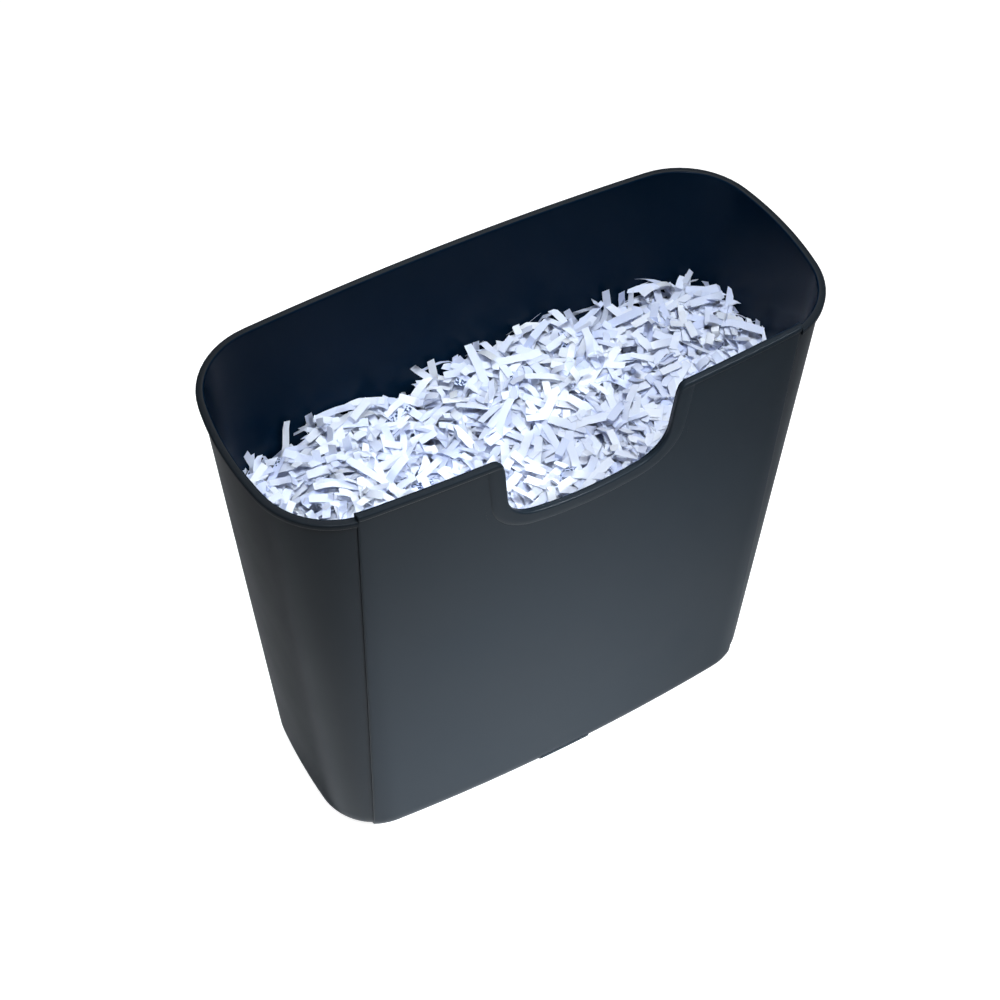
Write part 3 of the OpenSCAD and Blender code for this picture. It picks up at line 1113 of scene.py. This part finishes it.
    def _pile(self, name: str, patterns: list[bpy.types.Mesh], count: int,
              pose: Callable[[int], tuple[Matrix, Vector, float]]) -> bpy.types.Object:
        """Piles up copies of the patterns, each pushed inside the bin's walls.

        Args:
            name: Name of the piece.
            patterns: The patterns to copy.
            count: How many shreds.
            pose: Gives a shred's turn, its place and how much of its curl is pressed out.

        Returns:
            The piece.
        """
        bm = bmesh.new()
        for index in range(count):
            kind = self.rng.randrange(len(patterns))
            turn, at, flatten = pose(index)
            co, uv = self._coordinates[kind]
            places = co * np.array([1.0, 1.0, flatten]) @ np.array(turn).T + np.array(at)
            shred = patterns[kind].copy()
            shred.vertices.foreach_set("co", (self._inside(places) * MM).astype(np.float32).ravel())
            shift = [self.rng.uniform(0, self.uv_spread), self.rng.uniform(0, self.uv_spread)]
            shred.uv_layers["shred"].data.foreach_set("uv", (uv + shift).astype(np.float32).ravel())
            bm.from_mesh(shred)
            bpy.data.meshes.remove(shred)
        return finished(name, bm, [self.paper], 50.0)

    def _inside(self, places: np.ndarray) -> np.ndarray:
        """Moves vertices that are in a wall or under the floor back inside the bin.

        Args:
            places: Vertex places in millimetres, one row each.

        Returns:
            The same, kept inside.
        """
        form = self.form
        least_z = form.floor_t + self.clear
        z = np.maximum(places[:, 2], least_z)
        wanted = form.skin(z, form.inner_inset + self.clear, least_z)
        x, y = places[:, 0], places[:, 1]
        for _ in range(2):
            depth, out_x, out_y = form.outline(z, 0.0).inward(x, y)
            push = np.maximum(wanted - depth, 0)
            x, y = x - out_x * push, y - out_y * push
        return np.stack([x, y, z], axis=1)

    def _turned(self, yaw: float, pitch: float, roll: float) -> Matrix:
        """Returns a turn made of a yaw, a pitch and a roll."""
        return (Matrix.Rotation(yaw, 3, "Z") @ Matrix.Rotation(pitch, 3, "Y")
                @ Matrix.Rotation(roll, 3, "X"))

    def _laid(self, lie: Lie) -> tuple[Matrix, float]:
        """Returns a random turn for a shred that lies in this way, and the curl left in it."""
        pitch_spread, roll_spread, curl = lie.value
        rng = self.rng
        yaw, pitch, roll = rng.uniform(0, math.tau), rng.gauss(0, pitch_spread), rng.gauss(0, roll_spread)
        return self._turned(yaw, pitch, roll), curl

    def _on_top(self, index: int) -> tuple[Matrix, Vector, float]:
        """Poses a shred on the surface: crossed every way, most of them leaning, a few on end."""
        rng, form = self.rng, self.form
        half = form.outline(self.level, form.inner_inset)
        x = rng.uniform(-1, 1) * (half.end_x + half.end_r - 2)
        y = rng.uniform(-1, 1) * (half.y_at(x) - 1)
        deep = self.core_in * 0.9 * (1 - index / self.top_count)
        crown = index > self.top_count * (1 - self.crown_share)
        if crown:
            z = self.surface(x, y) + rng.uniform(0.0, self.crown_rise)
            turn, curl = self._laid(Lie.CROWN)
            return turn, Vector((x, y, z)), curl
        upright = rng.random() < self.upright_share
        pitch_spread, roll_spread, curl = (Lie.UPRIGHT if upright else Lie.LEANING).value
        pitch, roll = rng.gauss(0, pitch_spread), rng.gauss(0, roll_spread)
        z = self.surface(x, y) - deep + rng.uniform(-2.0, 2.0) + (self.upright_rise if upright else 0.0)
        return self._turned(rng.uniform(0, math.tau), pitch, roll), Vector((x, y, z)), curl

    def _on_wall(self, index: int) -> tuple[Matrix, Vector, float]:
        """Poses a shred against a wall, turned any way within it and pressed flat."""
        rng, form = self.rng, self.form
        z = rng.uniform(self.wall_low, self.level - 6.0)
        at = form.outline(z, form.inner_inset + self.clear)
        half_x, half_y = at.end_x + at.end_r, at.side_y + at.side_r
        spot = rng.uniform(-half_x - half_y, half_x + half_y)
        if abs(spot) < half_x:
            x, y = spot, half_y * rng.choice((-1, 1))
        else:
            x, y = half_x * math.copysign(1, spot), (abs(spot) - half_x) * rng.choice((-1, 1))
        px, py = np.array([x]), np.array([y])
        depth, out_x, out_y = at.inward(px, py)
        sink = rng.uniform(0.0, self.wall_layer) - depth[0]
        x, y = float(px[0] - out_x[0] * sink), float(py[0] - out_y[0] * sink)
        out = Vector((float(out_x[0]), float(out_y[0]), self.wall_lean)).normalized()
        side = out.cross(Vector((0, 0, 1))).normalized()
        up = side.cross(out)
        frame_turn = Matrix((side, up, out)).transposed()
        turn, curl = self._laid(Lie.WALL)
        return frame_turn @ turn, Vector((x, y, z)), curl

    def _on_floor(self, index: int) -> tuple[Matrix, Vector, float]:
        """Poses a shred on the floor of the bin, pressed flat."""
        rng, form = self.rng, self.form
        at = form.outline(form.floor_t, form.inner_inset + 6)
        x = rng.uniform(-1, 1) * (at.end_x + at.end_r)
        y = rng.uniform(-1, 1) * at.y_at(x)
        z = form.floor_t + self.clear + rng.uniform(0, 2.0)
        turn, curl = self._laid(Lie.FLOOR)
        return turn, Vector((x, y, z)), curl


# ---- studio -------------------------------------------------------------------------------


@dataclass(frozen=True)
class Studio:
    """Pale floor, soft light and the camera."""

    floor_size: float = 14.0
    room_light: float = 0.13
    lamp_colour: str = "#eef7ff"
    azimuth: float = -30.069
    elevation: float = 51.233
    roll: float = 0.629
    distance: float = 1.0754
    lens_mm: float = 69.49
    target: tuple[float, float, float] = (0.0003, 0.0165, 0.1540)

    def build(self) -> None:
        """Lays the floor, hangs the lights and sets up the camera."""
        self._floor()
        self._sky()
        self._soft_box("top_soft_box", (-0.1, -0.5, 2.4), 1.4, 6.0)
        self._soft_box("back_soft_box", (0.8, 1.4, 2.3), 0.9, 9.0)
        self._spot("front_spot", (0.9, -1.15, 1.5), (-0.1, -0.12, 0.0), 15.5, 540.0)
        self._spot("paper_spot", (-0.25, -0.6, 2.1), (0.08, 0.04, 0.25), 13.5, 370.0, 0.3)
        self._spot("back_spot", (0.3, 1.3, 1.6), (0.02, 0.18, 0.0), 15.0, 90.0)
        self._camera()

    def _floor(self) -> None:
        """Lays the square top of the light table."""
        bm = bmesh.new()
        bmesh.ops.create_grid(bm, x_segments=2, y_segments=2, size=self.floor_size / 2)
        floor = finished("studio_floor", bm, [LightTable().build()])

    def _sky(self) -> None:
        """Fills the room with dim, even light, a little blue, in front of a white backdrop."""
        scene = bpy.context.scene
        world = bpy.data.worlds.new("studio_room")
        world.use_nodes = True
        tree = world.node_tree
        tree.nodes.clear()
        room = add_node(tree, "ShaderNodeBackground",
                        {"Color": linear("#eef4ff"), "Strength": self.room_light})
        backdrop = add_node(tree, "ShaderNodeBackground", {"Color": linear("#ffffff"), "Strength": 1.0})
        seen = add_node(tree, "ShaderNodeLightPath").outputs["Is Camera Ray"]
        both = add_node(tree, "ShaderNodeMixShader", {
            0: seen, 1: room.outputs["Background"], 2: backdrop.outputs["Background"]})
        add_node(tree, "ShaderNodeOutputWorld", {"Surface": both.outputs["Shader"]})
        scene.world = world
        scene.view_settings.view_transform = "Standard"

    def _soft_box(self, name: str, at: Place, size: float, watts: float,
                  aim: Place = (0.0, 0.0, 0.1)) -> None:
        """Hangs a square soft box that points at the bin.

        Args:
            name: Name of the light.
            at: Its place, in metres.
            size: Its side, in metres.
            watts: Its power.
            aim: Where it points.
        """
        light = bpy.data.lights.new(name, "AREA")
        light.shape, light.size, light.energy = "SQUARE", size, watts
        self._hang(name, light, at, aim)

    def _spot(self, name: str, at: Place, aim: Place, cone_degrees: float, watts: float,
              radius: float = 0.12) -> None:
        """Hangs a soft-edged spot lamp.

        Args:
            name: Name of the light.
            at: Its place, in metres.
            aim: Where it points.
            cone_degrees: Its full cone.
            watts: Its power.
            radius: Size of the lamp, in metres; a large one throws soft shadows.
        """
        light = bpy.data.lights.new(name, "SPOT")
        light.energy, light.spot_size, light.spot_blend = watts, math.radians(cone_degrees), 1.0
        light.shadow_soft_size = radius
        light.color = linear(self.lamp_colour)[:3]
        self._hang(name, light, at, aim)

    def _hang(self, name: str, light: bpy.types.Light, at: Place, aim: Place) -> None:
        """Puts a light in its place and turns it towards its aim."""
        lamp = bpy.data.objects.new(name, light)
        lamp.location = at
        lamp.rotation_euler = (Vector(aim) - Vector(at)).to_track_quat("-Z", "Y").to_euler()
        bpy.context.scene.collection.objects.link(lamp)

    def _camera(self) -> None:
        """Sets up the camera at its viewing angle."""
        scene = bpy.context.scene
        a, e, roll = (math.radians(v) for v in (self.azimuth, self.elevation, self.roll))
        back = Vector((math.sin(a) * math.cos(e), -math.cos(a) * math.cos(e), math.sin(e)))
        right = (-back).cross(Vector((0, 0, 1))).normalized()
        up = right.cross(-back)
        across = right * math.cos(roll) + up * math.sin(roll)
        upward = up * math.cos(roll) - right * math.sin(roll)
        data = bpy.data.cameras.new("camera")
        data.lens, data.sensor_width, data.clip_start = self.lens_mm, 36.0, 0.01
        camera = bpy.data.objects.new("camera", data)
        turn = Matrix((across, upward, back)).transposed().to_4x4()
        camera.matrix_world = Matrix.Translation(Vector(self.target) + back * self.distance) @ turn
        scene.collection.objects.link(camera)
        scene.camera = camera


def main() -> None:
    """Builds the pieces in order and reports each one."""
    logging.basicConfig(level=logging.INFO, format="%(name)s: %(message)s")
    form = BinForm.from_frame()
    outer = MouldedPolypropylene("bin_polypropylene_satin").build()
    # The inside is the same plastic as the outside: its darker, bluer colour is painted shade and painted
    # blue reflection, and its lower roughness is the smoother finish.
    inner = MouldedPolypropylene("bin_polypropylene_inside_painted_shade", colour="#031729", worn_colour="#041a2d",
                                 roughness=0.3, roughness_swing=0.03, specular=0.05, grain_mm=1.2,
                                 grain_depth_mm=0.006).build()
    face = MouldedPolypropylene("panel_polypropylene_satin", colour="#1a2026",
                                worn_colour="#212930").build()
    paper = OfficePaper("office_paper_shreds").build()
    # The core's darker, bluer paper colour is painted shade for the gaps between the shreds.
    core_paper_painted_shade = OfficePaper("office_paper_packed_painted_shade", colour="#b6c1df", shade_colour="#98a5ca").build()
    pieces = [BinShell(form, outer, inner).build(), FrontPanel(form, face).build()]
    pieces += PaperLoad(form, paper, core_paper_painted_shade).build()
    for piece in pieces:
        log.info("%s: %d faces", piece.name, len(piece.data.polygons))
    Studio().build()


if __name__ == "__main__":
    main()
